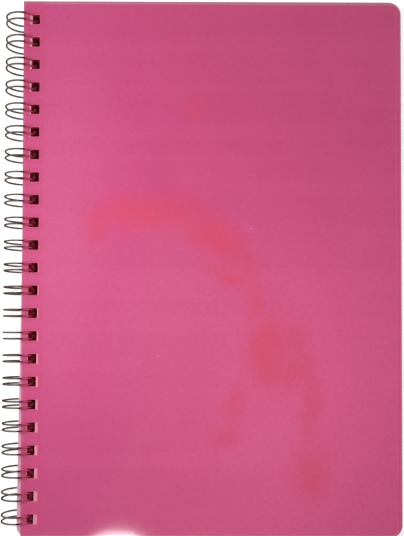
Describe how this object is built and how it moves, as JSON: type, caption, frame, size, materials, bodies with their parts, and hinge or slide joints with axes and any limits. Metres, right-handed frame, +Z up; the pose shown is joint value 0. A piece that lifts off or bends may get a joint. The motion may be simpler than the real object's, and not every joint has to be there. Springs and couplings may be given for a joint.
{
  "type": "notebook",
  "caption": "Closed A4 notebook with pink plastic covers and white paper, bound along its left side by a twin-loop wire through square holes",
  "frame": {"origin": "on the table, under the middle of the notebook as it lies closed", "axes": "X from the spine to the fore edge, Y up the page, Z up from the table through the back cover"},
  "size_m": [0.2238, 0.301, 0.0184],
  "materials": {
    "wire": "bright drawn wire, slightly dulled",
    "cover": "thin translucent pink sheet, satin gloss",
    "paper": "uncoated white paper"
  },
  "bodies": {
    "root": {"twin_loop_wire": "wire", "sheets_41_to_50": "paper", "sheets_51_to_60": "paper", "sheets_61_to_70": "paper", "sheets_71_to_80": "paper"},
    "upper_sheets": {"sheets_02_to_10": "paper", "sheets_11_to_20": "paper", "sheets_21_to_30": "paper", "sheets_31_to_40": "paper"},
    "first_sheet": {"sheet_01": "paper"},
    "front_cover": {"front_cover": "cover"},
    "back_cover": {"back_cover": "cover"}
  },
  "joints": [
    {"name": "upper_sheets_turn", "type": "hinge", "parent": "root", "child": "upper_sheets", "pos_m": [-0.10274, 0, 0.0092], "axis": [0, 1, 0], "range_deg": [-180, 0]},
    {"name": "first_sheet_turn", "type": "hinge", "parent": "upper_sheets", "child": "first_sheet", "pos_m": [-0.10274, 0, 0.0092], "axis": [0, 1, 0], "range_deg": [-180, 0]},
    {"name": "front_cover_turn", "type": "hinge", "parent": "first_sheet", "child": "front_cover", "pos_m": [-0.10274, 0, 0.0092], "axis": [0, 1, 0], "range_deg": [-180, 0]},
    {"name": "back_cover_turn", "type": "hinge", "parent": "root", "child": "back_cover", "pos_m": [-0.10274, 0, 0.0092], "axis": [0, 1, 0], "range_deg": [0, 180]}
  ]
}
